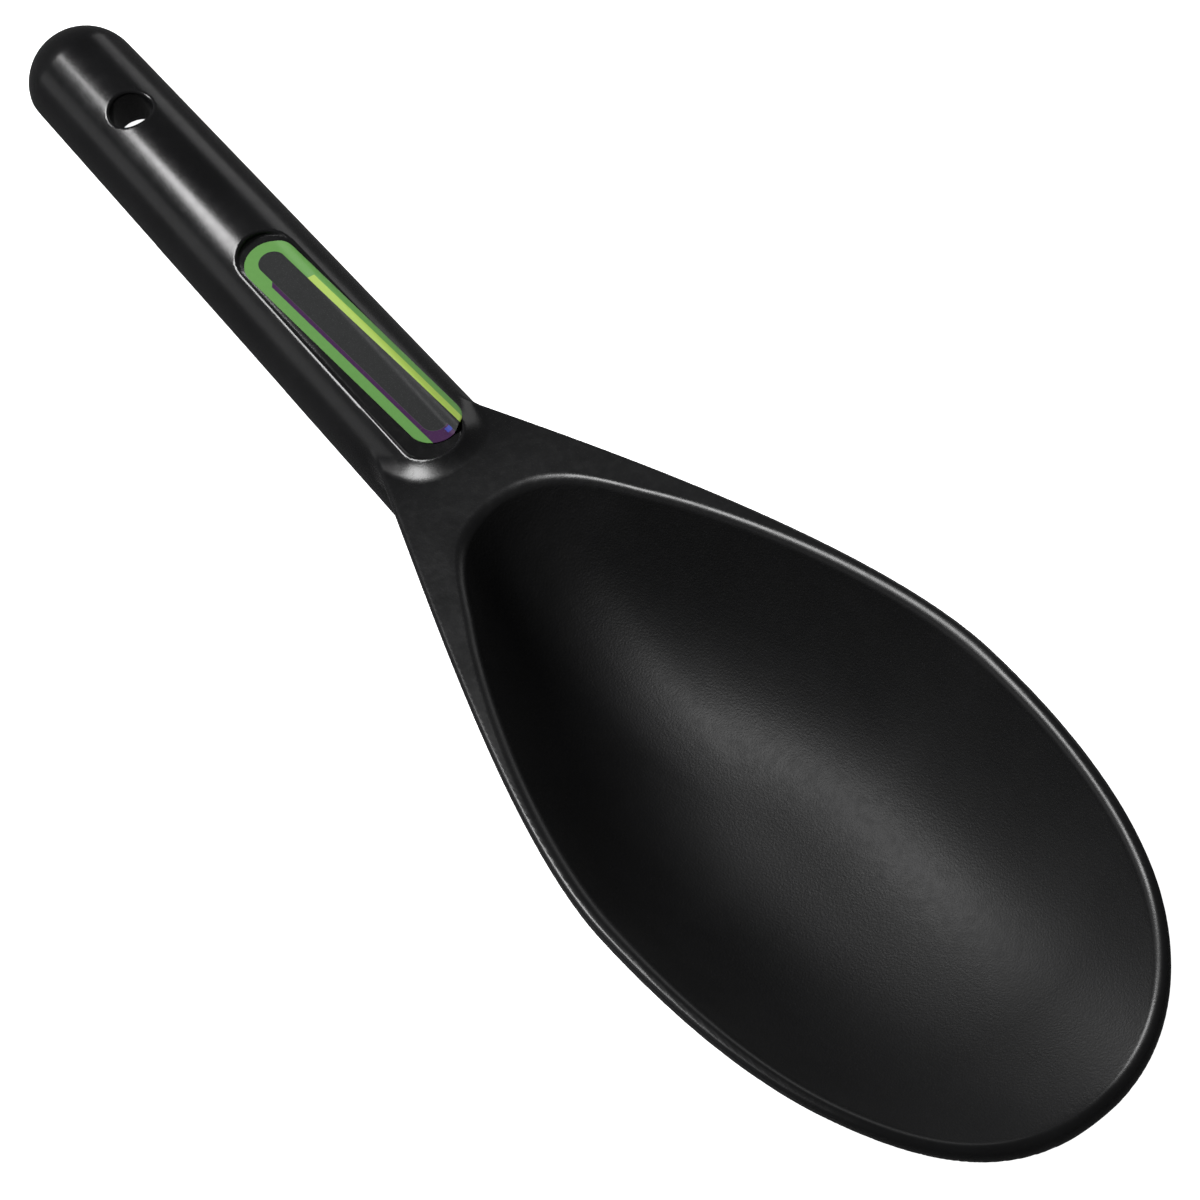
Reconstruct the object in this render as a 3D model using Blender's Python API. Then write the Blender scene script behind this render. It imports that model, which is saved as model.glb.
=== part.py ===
"""Hand scoop for digging and sifting beach sand: one black moulding, with a label in its grip.

Everything is modelled in the grip's own frame, in metres. X runs along the grip's axis from the
butt to the bowl's lip, with zero where the web leaves the grip. Y is across, with the scoop
symmetric about Y = 0. Z is up, with zero on the grip's axis. The empty rest_frame then sets the
scoop down as it lies on a table, on its butt and on the flat under its bowl.
"""

import math

import bmesh
import bpy
import numpy as np
from mathutils import Matrix, Vector

# Grip: a half-round arch, open underneath.
BUTT_X = -0.1323
BUTT_RADIUS = 0.0128
NECK_RADIUS = 0.0141
NOSE_START_X = 0.008
NOSE_LENGTH = 0.040
NOSE_DROP_LENGTH = 0.015
NOSE_STATIONS = 17
GRIP_WALL = 0.0030
GRIP_SIDES = 32
GRIP_STATIONS = 8
NOSE_END_SHARE = 0.9975
CHANNEL_END_X = 0.016
CHANNEL_DRAFT = math.radians(8)
BUTT_STEPS = 9
CHANNEL_BUTT_STEPS = 6
DOME_TURN = math.radians(88.65)
RIB_XS = (-0.068, -0.032, 0.002)
RIB_THICKNESS = 0.0020
RIB_SETBACK = 0.0015

# Hanging hole, through a boss inside the grip.
HOLE_X = -0.1086
HOLE_RADIUS = 0.0047
HOLE_MOUTH_RADIUS = 0.0056
HOLE_MOUTH_DEPTH = 0.0009
BOSS_RADIUS = 0.0074
BOSS_DEPTH = 0.0105

# Sunk panel on top of the grip, and the label in it, stuck on a little askew so that one edge
# climbs over the panel's side.
PANEL_START_X = -0.0610
PANEL_END_X = 0.0120
PANEL_HALF_WIDTH = 0.0064
PANEL_FLOOR_Z = 0.0119
LABEL_CENTRE = (-0.0249, 0.0012)
LABEL_LENGTH = 0.0676
LABEL_HALF_WIDTH = 0.00585
LABEL_THICKNESS = 0.0003
LABEL_GAP = 0.0003
LABEL_TURN = math.radians(2.8)
LABEL_CLIMB_START_Y = 0.0034
LABEL_CLIMB_END_Y = 0.0062
LABEL_RINGS = 7

# Rim and web: one sheet whose height follows X.
SHEET_START_Z = 0.0084
SHEET_PEAK_X = 0.1850
SHEET_PEAK_Z = 0.0353
SHEET_RISE_POWER = 1.85
LIP_X = 0.2127
LIP_DROP = 0.0080
LIP_DROP_POWER = 2.0
LIP_THICKNESS = 0.0016
LIP_TAPER_START_X = 0.1250
WEB_START = (-0.0060, 0.0093)
WEB_THICKNESS = 0.0034
EDGE_RADIUS = 0.0009

# Outline of the outer edge and of the bowl's mouth, as cubic curves from the neck to the lip.
OUTER_SIDE = (WEB_START, (0.0420, 0.0248), (0.0980, 0.0454), (0.1290, 0.0454))
OUTER_FRONT = (OUTER_SIDE[3], (0.2063, 0.0454), (LIP_X, 0.0148), (LIP_X, 0.0))
MOUTH_BACK = ((0.0300, 0.0), (0.0300, 0.0130), (0.0420, 0.0165), (0.0530, 0.0220))
MOUTH_SIDE = (MOUTH_BACK[3], (0.0680, 0.0295), (0.1040, 0.0426), (0.1300, 0.0426))
MOUTH_FRONT = (MOUTH_SIDE[3], (0.2046, 0.0426), (0.2108, 0.0143), (0.2108, 0.0))

# Bowl.
BOWL_CENTRE_X = 0.1150
BOWL_DEPTH = 0.0355
BOWL_WALL = 0.0030
BACK_POWER = 3.2
FRONT_POWER = 2.8
POWER_BLEND = 0.5
MOUTH_FILLET = 0.0009
OUTER_STEP = 0.0004

# How finely the sheet's rings are divided.
BACK_STEPS = 8
SIDE_STEPS = 9
FRONT_STEPS = 11
BOWL_RINGS = 10
RING_CROWDING = 1.25
ARC_STEPS = 3
LAND_SHARES = (0.35, 0.70)

# Looks.
MOULDING_COLOUR = (0.012, 0.012, 0.013)
MOULDING_ROUGHNESS = 0.38
LABEL_COLOUR = (0.10, 0.40, 0.08)
LABEL_ROUGHNESS = 0.35
SHARP_ANGLE = math.radians(35)

# Attitude at rest: the floor runs from the butt's lower edge to the flat under the bowl.
REST_ANGLE = math.radians(2.47)


def cubic(points, t):
    """The point at t, from 0 to 1, on the cubic curve through these four control points."""
    p = np.asarray(points, float)
    t = np.asarray(t, float)[:, None]
    return (1 - t) ** 3 * p[0] + 3 * (1 - t) ** 2 * t * p[1] + 3 * (1 - t) * t**2 * p[2] + t**3 * p[3]


def sheet_height(x):
    """Height of the web and rim above the grip's axis: a rising arch that drops at the lip."""
    rise = SHEET_PEAK_Z - SHEET_START_Z
    before = np.clip(1 - x / SHEET_PEAK_X, 0, None)
    past = np.clip((x - SHEET_PEAK_X) / (LIP_X - SHEET_PEAK_X), 0, None)
    return SHEET_START_Z + rise * (1 - before**SHEET_RISE_POWER) - LIP_DROP * past**LIP_DROP_POWER


def sheet_thickness(x):
    """Thickness of the web and rim, which thin out towards the lip."""
    past = np.clip((x - LIP_TAPER_START_X) / (LIP_X - LIP_TAPER_START_X), 0, 1)
    return WEB_THICKNESS + (LIP_THICKNESS - WEB_THICKNESS) * past


def grip_radius(x):
    share = (x - BUTT_X) / (0 - BUTT_X)
    return BUTT_RADIUS + (NECK_RADIUS - BUTT_RADIUS) * share


def nose_height(x):
    """Height of the grip's nose: it rounds down to the web, then runs on hidden inside it."""
    share = min((x - NOSE_START_X) / NOSE_DROP_LENGTH, 1.0)
    falling = grip_radius(x) * math.sqrt(1 - share**2)
    return min(grip_radius(x), max(falling, float(sheet_height(x)) - WEB_THICKNESS / 2))


def floor_height(x):
    """Height of the table under the scoop at rest, in the grip's frame."""
    return -(x - (BUTT_X - BUTT_RADIUS)) * math.tan(REST_ANGLE)


def closed_ring(half):
    """A half outline from back to lip, made a whole ring by mirroring it across Y = 0."""
    return np.vstack([half, half[-2:0:-1] * (1, -1)])


def mouth_ring():
    back = cubic(MOUTH_BACK, np.arange(BACK_STEPS) / BACK_STEPS)
    side = cubic(MOUTH_SIDE, np.arange(SIDE_STEPS) / SIDE_STEPS)
    front = cubic(MOUTH_FRONT, np.arange(FRONT_STEPS + 1) / FRONT_STEPS)
    return closed_ring(np.vstack([back, side, front]))


def outer_ring():
    """The outer edge, in step with mouth_ring: across the neck, then along the side to the lip."""
    across_steps = 3
    across = np.linspace((WEB_START[0], 0.0), WEB_START, across_steps + 1)[:-1]
    side_steps = BACK_STEPS - across_steps + SIDE_STEPS
    side = cubic(OUTER_SIDE, np.arange(side_steps) / side_steps)
    front = cubic(OUTER_FRONT, np.arange(FRONT_STEPS + 1) / FRONT_STEPS)
    return closed_ring(np.vstack([across, side, front]))


def ring_normals(ring):
    """Unit normals of a ring, in plan, pointing out of it."""
    along = np.roll(ring, -1, axis=0) - np.roll(ring, 1, axis=0)
    normal = np.stack([-along[:, 1], along[:, 0]], axis=1)
    normal /= np.linalg.norm(normal, axis=1)[:, None]
    return normal


def bowl_power(ring):
    """The exponent of the bowl's section: a steep back wall, and a shallower front."""
    toward_front = (ring[:, 0] - ring[:, 0].min()) / np.ptp(ring[:, 0])
    return BACK_POWER + (FRONT_POWER - BACK_POWER) * toward_front**POWER_BLEND


def at_height(ring, drop=0.0):
    """The ring's points laid on the sheet, then lowered by drop."""
    return np.column_stack([ring, sheet_height(ring[:, 0]) - drop])


def bowl_rings(edge, depth, shares, under=False):
    """Rings of a bowl hung from its edge, on top of the sheet or under it, towards the centre."""
    centre = np.array([BOWL_CENTRE_X, 0.0])
    power = bowl_power(edge)
    rings = []
    for share in shares:
        ring = centre + share * (edge - centre)
        start = sheet_thickness(ring[:, 0]) if under else 0.0
        rings.append(at_height(ring, start + (depth - start) * (1 - share**power)))
    return rings


def bowl_bottom(depth):
    return np.array([BOWL_CENTRE_X, 0.0, sheet_height(BOWL_CENTRE_X) - depth])


def mesh_object(name, points, faces):
    mesh = bpy.data.meshes.new(name)
    mesh.from_pydata([tuple(p) for p in points], [], [tuple(f) for f in faces])
    bm = bmesh.new()
    bm.from_mesh(mesh)
    bmesh.ops.recalc_face_normals(bm, faces=bm.faces)
    bm.to_mesh(mesh)
    bm.free()
    obj = bpy.data.objects.new(name, mesh)
    bpy.context.scene.collection.objects.link(obj)
    return obj


def stacked_rings(name, rings, first_pole, last_pole):
    """A closed body from rings of equal length, with a point at each end."""
    count = len(rings[0])
    points = np.vstack([[first_pole], *rings, [last_pole]])
    faces = []
    for i in range(count):
        j = (i + 1) % count
        faces.append((0, 1 + i, 1 + j))
        for k in range(len(rings) - 1):
            low = 1 + k * count
            high = low + count
            faces.append((low + i, high + i, high + j, low + j))
        last = 1 + (len(rings) - 1) * count
        faces.append((last + j, last + i, len(points) - 1))
    return mesh_object(name, points, faces)


def ring_shares(steps):
    """Shares of the bowl's radius from 1 towards 0, closer together near the wall."""
    return [1 - (k / (steps + 1)) ** RING_CROWDING for k in range(1, steps + 1)]


def make_shell():
    """Web, rim and bowl: from the bowl's inside, up over the rim and down its outside."""
    mouth = mouth_ring()
    outer = outer_ring()
    normal = ring_normals(mouth)
    inside = bowl_rings(mouth, BOWL_DEPTH, ring_shares(BOWL_RINGS))[::-1]
    fillet = []
    for k in range(ARC_STEPS + 1):
        turn = math.radians(90) * k / ARC_STEPS
        shift = MOUTH_FILLET * (1 - math.cos(turn))
        drop = MOUTH_FILLET * (1 - math.sin(turn))
        fillet.append(at_height(mouth + normal * shift, drop))
    land = mouth + normal * MOUTH_FILLET
    outer_normal = ring_normals(outer)
    shoulder = outer - outer_normal * EDGE_RADIUS
    top = [at_height(land + (shoulder - land) * share) for share in LAND_SHARES]
    edge = []
    for k in range(ARC_STEPS + 1):
        turn = math.radians(90) * k / ARC_STEPS
        shift = EDGE_RADIUS * math.sin(turn)
        drop = EDGE_RADIUS * (1 - math.cos(turn))
        edge.append(at_height(shoulder + outer_normal * shift, drop))
    edge.append(at_height(outer, sheet_thickness(outer[:, 0])))
    gap = np.linalg.norm(outer - mouth, axis=1)[:, None]
    wall = np.minimum(BOWL_WALL, gap - OUTER_STEP)
    skirt = mouth + normal * wall
    under = at_height(skirt, sheet_thickness(skirt[:, 0]))
    outside = bowl_rings(skirt, BOWL_DEPTH + BOWL_WALL, ring_shares(BOWL_RINGS), under=True)
    for ring in outside:
        ring[:, 2] = np.maximum(ring[:, 2], floor_height(ring[:, 0]))
    below = bowl_bottom(BOWL_DEPTH + BOWL_WALL)
    below[2] = max(below[2], floor_height(BOWL_CENTRE_X))
    rings = inside + fillet + top + edge + [under] + outside
    return stacked_rings("scoop_body", rings, bowl_bottom(BOWL_DEPTH), below)


def make_cavity_cutter():
    """The bowl's inside grown halfway into its wall, closed over the mouth, to trim the grip."""
    grown = mouth_ring()
    grown = grown + ring_normals(grown) * BOWL_WALL / 2
    depth = BOWL_DEPTH + BOWL_WALL / 2
    inside = bowl_rings(grown, depth, ring_shares(BOWL_RINGS))[::-1]
    roof = bowl_bottom(-BOWL_WALL * 4)
    rings = inside + [at_height(grown), at_height(grown, -BOWL_WALL * 3)]
    return stacked_rings("cavity_cutter", rings, bowl_bottom(depth), roof)


def half_round(name, sections, base_z):
    """A bar along X through (x, half width, height) sections: arched on top, flat at base_z."""
    points = []
    for x, width, height in sections:
        start = math.asin(base_z / height)
        angles = np.linspace(start, math.pi - start, GRIP_SIDES + 1)
        points += [(x, width * math.cos(a), height * math.sin(a)) for a in angles]
    row = GRIP_SIDES + 1
    faces = [tuple(range(row - 1, -1, -1))]
    for k in range(len(sections) - 1):
        low = k * row
        high = low + row
        faces += [(low + i, high + i, high + i + 1, low + i + 1) for i in range(row - 1)]
        faces.append((low, low + row - 1, high + row - 1, high))
    faces.append(tuple(range((len(sections) - 1) * row, len(sections) * row)))
    return mesh_object(name, points, faces)


def dome_sections(x, radius, steps):
    """Sections of a quarter ball that closes a bar's start at x."""
    turns = np.linspace(0, DOME_TURN, steps + 1)[1:]
    return [(x - radius * math.sin(t), radius * math.cos(t), radius * math.cos(t)) for t in turns][::-1]


def make_grip():
    """The grip: a dome at the butt, the straight arch, and a nose that runs under the web."""
    sections = dome_sections(BUTT_X, BUTT_RADIUS, BUTT_STEPS)
    for x in np.linspace(BUTT_X, NOSE_START_X, GRIP_STATIONS):
        sections.append((x, grip_radius(x), grip_radius(x)))
    for share in np.linspace(0, NOSE_END_SHARE, NOSE_STATIONS + 1)[1:]:
        x = NOSE_START_X + NOSE_LENGTH * share
        sections.append((x, grip_radius(x) * math.sqrt(1 - share**2), nose_height(x)))
    return half_round("grip", sections, 0.0)


def make_channel_cutter():
    """The hollow under the grip: an arch one wall smaller, run out below the grip's edges."""
    angles = np.linspace(CHANNEL_DRAFT, math.pi - CHANNEL_DRAFT, GRIP_SIDES + 1)
    sections = dome_sections(BUTT_X, BUTT_RADIUS - GRIP_WALL, CHANNEL_BUTT_STEPS)
    for x in np.linspace(BUTT_X, CHANNEL_END_X, GRIP_STATIONS):
        sections.append((x, grip_radius(x) - GRIP_WALL, grip_radius(x) - GRIP_WALL))
    below = -3 * GRIP_WALL
    points = []
    for x, r, _ in sections:
        points.append((x, r, below))
        points += [(x, r * math.cos(a), r * math.sin(a)) for a in angles]
        points.append((x, -r, below))
    row = GRIP_SIDES + 3
    faces = []
    for k in range(len(sections) - 1):
        for i in range(row):
            j = (i + 1) % row
            faces.append((k * row + i, (k + 1) * row + i, (k + 1) * row + j, k * row + j))
    faces.append(tuple(range(row - 1, -1, -1)))
    faces.append(tuple(range((len(sections) - 1) * row, len(sections) * row)))
    return mesh_object("channel_cutter", points, faces)


def add_cylinder(name, radius, low, high, x, top_radius=None, sides=40):
    bm = bmesh.new()
    bmesh.ops.create_cone(
        bm,
        cap_ends=True,
        segments=sides,
        radius1=radius,
        radius2=radius if top_radius is None else top_radius,
        depth=high - low,
    )
    bmesh.ops.translate(bm, verts=bm.verts, vec=(x, 0, (low + high) / 2))
    mesh = bpy.data.meshes.new(name)
    bm.to_mesh(mesh)
    bm.free()
    obj = bpy.data.objects.new(name, mesh)
    bpy.context.scene.collection.objects.link(obj)
    return obj


def make_rib(number, x):
    """A cross wall inside the grip, reaching into the arch and stopping short of its edges."""
    radius = grip_radius(x) - GRIP_WALL / 2
    name = f"rib_{number}"
    ends = (x - RIB_THICKNESS / 2, x + RIB_THICKNESS / 2)
    return half_round(name, [(end, radius, radius) for end in ends], RIB_SETBACK)


def stadium_prism(name, start_x, end_x, half_width, low, high, arc_steps=12):
    """A plate with half-round ends, between two heights."""
    angles = np.radians(np.linspace(-90, 90, arc_steps + 1))
    front = [(end_x - half_width + half_width * math.cos(a), half_width * math.sin(a)) for a in angles]
    back = [(start_x + half_width - half_width * math.cos(a), -half_width * math.sin(a)) for a in angles]
    outline = front + back
    count = len(outline)
    points = [(x, y, low) for x, y in outline] + [(x, y, high) for x, y in outline]
    faces = [tuple(range(count - 1, -1, -1)), tuple(range(count, 2 * count))]
    faces += [(i, (i + 1) % count, count + (i + 1) % count, count + i) for i in range(count)]
    return mesh_object(name, points, faces)


def combine(obj, other, operation):
    """Adds a Boolean to obj and keeps its other shape as a hidden helper."""
    modifier = obj.modifiers.new(f"{operation.lower()}_{other.name}", "BOOLEAN")
    modifier.operation = operation
    modifier.solver = "EXACT"
    modifier.object = other
    other.hide_render = True
    other.display_type = "WIRE"
    other.parent = obj.parent


def make_body():
    """The one-piece moulding."""
    hole_top = grip_radius(HOLE_X)
    grip = make_grip()
    combine(grip, make_cavity_cutter(), "DIFFERENCE")
    body = make_shell()
    combine(body, grip, "UNION")
    combine(body, make_channel_cutter(), "DIFFERENCE")
    for number, x in enumerate(RIB_XS):
        combine(body, make_rib(number, x), "UNION")
    boss_top = hole_top - GRIP_WALL / 2
    boss = add_cylinder("hole_boss", BOSS_RADIUS, hole_top - BOSS_DEPTH, boss_top, HOLE_X)
    combine(body, boss, "UNION")
    bore = add_cylinder("hole_cutter", HOLE_RADIUS, -BOSS_RADIUS, 2 * hole_top, HOLE_X)
    combine(body, bore, "DIFFERENCE")
    flare = HOLE_MOUTH_RADIUS - HOLE_RADIUS
    mouth = add_cylinder(
        "hole_mouth_cutter",
        HOLE_RADIUS,
        hole_top - HOLE_MOUTH_DEPTH - flare,
        hole_top + flare,
        HOLE_X,
        top_radius=HOLE_MOUTH_RADIUS + flare,
    )
    combine(body, mouth, "DIFFERENCE")
    panel = stadium_prism(
        "panel_cutter", PANEL_START_X, PANEL_END_X, PANEL_HALF_WIDTH, PANEL_FLOOR_Z, 2 * NECK_RADIUS
    )
    combine(body, panel, "DIFFERENCE")
    return body


def label_height(x, y):
    """Height of the label's underside: on the panel's floor, and over the grip's crest past the panel."""
    on_grip = math.sqrt(grip_radius(x) ** 2 - y**2)
    share = (y - LABEL_CLIMB_START_Y) / (LABEL_CLIMB_END_Y - LABEL_CLIMB_START_Y)
    share = min(max(share, 0.0), 1.0)
    share = share * share * (3 - 2 * share)
    return PANEL_FLOOR_Z + (on_grip - PANEL_FLOOR_Z) * share + LABEL_GAP


def label_ring(half_width, arc_steps=10, side_steps=14):
    """A round-ended outline about the label's middle line, in the grip's frame."""
    reach = LABEL_LENGTH / 2 - LABEL_HALF_WIDTH
    turns = np.radians(np.linspace(-90, 90, arc_steps + 1))
    sides = np.linspace(-reach, reach, side_steps + 1)[1:-1]
    front = [(reach + half_width * math.cos(t), half_width * math.sin(t)) for t in turns]
    far = [(x, half_width) for x in sides[::-1]]
    back = [(-reach - half_width * math.cos(t), -half_width * math.sin(t)) for t in turns]
    near = [(x, -half_width) for x in sides]
    turned = Matrix.Rotation(LABEL_TURN, 2)
    middle = Vector(LABEL_CENTRE)
    return [middle + turned @ Vector(point) for point in front + far + back + near]


def make_label(arc_steps=10, side_steps=14):
    """The printed label, a thin film with round ends that follows what it is stuck on."""
    widths = [LABEL_HALF_WIDTH * (1 - k / LABEL_RINGS) for k in range(LABEL_RINGS)]
    outlines = [label_ring(width, arc_steps, side_steps) for width in widths]
    count = len(outlines[0])
    lower = [[(p.x, p.y, label_height(p.x, p.y)) for p in ring] for ring in outlines]
    upper = [[(x, y, z + LABEL_THICKNESS) for x, y, z in ring] for ring in lower]
    layers = lower[::-1] + upper
    points = [point for ring in layers for point in ring]
    faces = []
    for k in range(len(layers) - 1):
        low = k * count
        high = low + count
        faces += [(low + i, low + (i + 1) % count, high + (i + 1) % count, high + i) for i in range(count)]
    for start in (0, (len(layers) - 1) * count):
        faces += cap_faces(start, count, arc_steps)
    return mesh_object("handle_label", points, faces)


def cap_faces(start, count, arc_steps):
    """Closes a round-ended ring by joining its points across the middle line."""
    half = arc_steps // 2
    order = [start + (half + i) % count for i in range(count)]
    faces = [(order[0], order[1], order[-1])]
    for i in range(1, count // 2 - 1):
        faces.append((order[i], order[i + 1], order[count - i - 1], order[count - i]))
    faces.append((order[count // 2 - 1], order[count // 2], order[count // 2 + 1]))
    return faces


def give_material(obj, name, colour, roughness):
    material = bpy.data.materials.new(name)
    material.use_nodes = True
    shader = material.node_tree.nodes["Principled BSDF"]
    shader.inputs["Base Color"].default_value = (*colour, 1.0)
    shader.inputs["Roughness"].default_value = roughness
    shader.inputs["Metallic"].default_value = 0.0
    obj.data.materials.append(material)


def set_down(objects):
    """Parents every piece to an empty that lays the scoop on the floor, centred over the origin."""
    rest = bpy.data.objects.new("rest_frame", None)
    bpy.context.scene.collection.objects.link(rest)
    for obj in bpy.context.scene.objects:
        if obj is not rest:
            obj.parent = rest
    rest.rotation_euler = (0, -REST_ANGLE, 0)
    bpy.context.view_layer.update()
    graph = bpy.context.evaluated_depsgraph_get()
    corners = []
    for obj in objects:
        evaluated = obj.evaluated_get(graph)
        mesh = evaluated.to_mesh()
        corners += [evaluated.matrix_world @ v.co for v in mesh.vertices]
        evaluated.to_mesh_clear()
    places = np.array([tuple(c) for c in corners])
    low = places.min(axis=0)
    high = places.max(axis=0)
    rest.location = (-(low[0] + high[0]) / 2, 0.0, -low[2])


def main():
    for obj in list(bpy.data.objects):
        bpy.data.objects.remove(obj, do_unlink=True)
    body = make_body()
    label = make_label()
    give_material(body, "black_moulding", MOULDING_COLOUR, MOULDING_ROUGHNESS)
    give_material(label, "label_print", LABEL_COLOUR, LABEL_ROUGHNESS)
    for obj in (body, label):
        obj.data.shade_smooth()
        obj.data.set_sharp_from_angle(angle=SHARP_ANGLE)
    set_down([body, label])


main()
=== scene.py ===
"""Looks of the sand scoop: a finely modelled moulding and label, their materials, and a plain studio.

Shapes are worked out in the grip's own frame, in metres, as in the part itself: X along the grip
from the butt to the lip, Y across, Z up. They are then laid down to the frame's resting attitude.
"""

import math

import bmesh
import bpy
import numpy as np
from mathutils import Matrix, Vector


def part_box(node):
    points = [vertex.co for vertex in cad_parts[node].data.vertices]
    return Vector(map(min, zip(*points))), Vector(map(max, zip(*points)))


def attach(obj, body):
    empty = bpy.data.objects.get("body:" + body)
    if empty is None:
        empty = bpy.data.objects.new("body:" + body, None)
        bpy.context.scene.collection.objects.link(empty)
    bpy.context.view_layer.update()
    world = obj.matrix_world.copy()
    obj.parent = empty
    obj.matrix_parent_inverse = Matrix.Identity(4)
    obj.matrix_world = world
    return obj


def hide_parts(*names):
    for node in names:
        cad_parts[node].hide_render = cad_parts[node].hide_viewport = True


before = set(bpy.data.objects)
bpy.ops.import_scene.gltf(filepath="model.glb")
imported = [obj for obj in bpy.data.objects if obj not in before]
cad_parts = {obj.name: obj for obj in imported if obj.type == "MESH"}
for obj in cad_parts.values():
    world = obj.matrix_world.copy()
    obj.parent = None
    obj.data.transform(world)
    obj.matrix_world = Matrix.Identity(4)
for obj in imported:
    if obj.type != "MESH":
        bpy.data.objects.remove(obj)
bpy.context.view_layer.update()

# Attitude of the scoop on the table: how far its grip tips up towards the bowl.
REST_ANGLE = math.radians(2.47)

# Grip.
BUTT_X = -0.1323
BUTT_RADIUS = 0.0128
NECK_RADIUS = 0.0141
NOSE_START_X = 0.008
NOSE_LENGTH = 0.040
NOSE_DROP_LENGTH = 0.015
NOSE_NARROW_LIMIT = 0.985
NOSE_FRONT_SHARE = 0.97
GRIP_WALL = 0.0030
CHANNEL_END_X = 0.016
RIB_XS = (-0.068, -0.032, 0.002)
RIB_THICKNESS = 0.0020
RIB_SETBACK = 0.0015

# Hanging hole and its boss.
HOLE_X = -0.1086
HOLE_RADIUS = 0.0047
HOLE_FILLET = 0.0009
BOSS_RADIUS = 0.0074
BOSS_DEPTH = 0.0105

# Sunk panel and label.
PANEL_START_X = -0.0610
PANEL_END_X = 0.0120
PANEL_HALF_WIDTH = 0.0064
PANEL_FLOOR_Z = 0.0119
LABEL_CENTRE = (-0.0249, 0.0012)
LABEL_LENGTH = 0.0676
LABEL_HALF_WIDTH = 0.00585
LABEL_TURN = math.radians(2.8)
LABEL_CLIMB_START_Y = 0.0034
LABEL_CLIMB_END_Y = 0.0062

# The film lies closer to the plastic here than its collision solid does.
FILM_GAP = 0.00003
FILM_THICKNESS = 0.00018
FILM_RIM = 0.00004

# The film's print, in the label's own frame: a dark field, a lime stripe on one side of it and a
# purple one on the other, which turns round the field's end and holds a blue patch there.
FIELD_CENTRE_Y = 0.00018
FIELD_HALF_WIDTH = 0.00297
FIELD_TOP_Y = 0.00315
FIELD_LOW_Y = -0.00279
END_SPLIT_Y = 0.0013
LIME_TOP_Y = 0.00452
LIME_START = -0.0210
LIME_SLANT = 0.5
PURPLE_LOW_Y = -0.00372
PURPLE_START = -0.0274
PURPLE_SLANT = 1.23
PATCH_LOW_Y = 0.0001
PATCH_ENDS = (0.0034, 0.0047)
PRINT_SOFTNESS = 0.00005

# Rim and web.
SHEET_START_Z = 0.0084
SHEET_PEAK_X = 0.1850
SHEET_PEAK_Z = 0.0353
SHEET_RISE_POWER = 1.85
LIP_X = 0.2127
LIP_DROP = 0.0080
LIP_DROP_POWER = 2.0
LIP_THICKNESS = 0.0016
LIP_TAPER_START_X = 0.1250
WEB_START = (-0.0060, 0.0093)
WEB_THICKNESS = 0.0034
EDGE_RADIUS = 0.0009
OUTER_SIDE = (WEB_START, (0.0420, 0.0248), (0.0980, 0.0454), (0.1290, 0.0454))
OUTER_FRONT = (OUTER_SIDE[3], (0.2063, 0.0454), (LIP_X, 0.0148), (LIP_X, 0.0))
MOUTH_BACK = ((0.0300, 0.0), (0.0300, 0.0130), (0.0420, 0.0165), (0.0530, 0.0220))
MOUTH_SIDE = (MOUTH_BACK[3], (0.0680, 0.0295), (0.1040, 0.0426), (0.1300, 0.0426))
MOUTH_FRONT = (MOUTH_SIDE[3], (0.2046, 0.0426), (0.2108, 0.0143), (0.2108, 0.0))

# Bowl.
BOWL_CENTRE_X = 0.1150
BOWL_DEPTH = 0.0355
BOWL_WALL = 0.0030
BACK_POWER = 3.2
FRONT_POWER = 2.8
POWER_BLEND = 0.5
MOUTH_FILLET = 0.0009
OUTER_STEP = 0.0004
FIELD_REACH = 1.6

# Small moulding radii that only show close up.
LOWER_EDGE_RADIUS = 0.0005
UNDER_WEB_FILLET = 0.0015
FOOT_RADIUS = 0.0010
GRIP_BASE_RADIUS = 0.0008
JOIN_FILLET = 0.0016
INNER_FILLET = 0.0004
PANEL_CORNER_RADIUS = 0.00035
PANEL_EDGE_RADIUS = 0.0008
MOUTH_SIDE_FILLET = 0.0016

# How finely the moulding and the film are meshed.
CELL = 0.0005
PLANES_AT_ONCE = 40
GRADIENT_STEP = CELL / 25
SLOPE_FLOOR = 0.05
KEEP_SHARE = 0.31
OUTLINE_STEPS = 1500
FILM_ARC_STEPS = 24
FILM_SIDE_STEPS = 60
FILM_RINGS = 14

# Where the bowl's grain starts below its rim, and how edges catch wear.
GRAIN_START = 0.0006
GRAIN_FADE = 0.0012
GRAIN_REACH = 1.02
WEAR_SPREAD = CELL * 1.6
WEAR_GAIN = 2.2


# ---------------------------------------------------------------- shape


def cubic(points, t):
    p = np.asarray(points, float)
    t = np.asarray(t, float)[:, None]
    return (1 - t) ** 3 * p[0] + 3 * (1 - t) ** 2 * t * p[1] + 3 * (1 - t) * t**2 * p[2] + t**3 * p[3]


def sheet_height(x):
    rise = SHEET_PEAK_Z - SHEET_START_Z
    before = np.clip(1 - x / SHEET_PEAK_X, 0, None)
    past = np.clip((x - SHEET_PEAK_X) / (LIP_X - SHEET_PEAK_X), 0, None)
    return SHEET_START_Z + rise * (1 - before**SHEET_RISE_POWER) - LIP_DROP * past**LIP_DROP_POWER


def sheet_slope(x):
    rise = SHEET_PEAK_Z - SHEET_START_Z
    before = np.clip(1 - x / SHEET_PEAK_X, 0, None)
    span = LIP_X - SHEET_PEAK_X
    past = np.clip((x - SHEET_PEAK_X) / span, 0, None)
    up = rise * SHEET_RISE_POWER / SHEET_PEAK_X * before ** (SHEET_RISE_POWER - 1)
    return up - LIP_DROP * LIP_DROP_POWER / span * past ** (LIP_DROP_POWER - 1)


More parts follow.
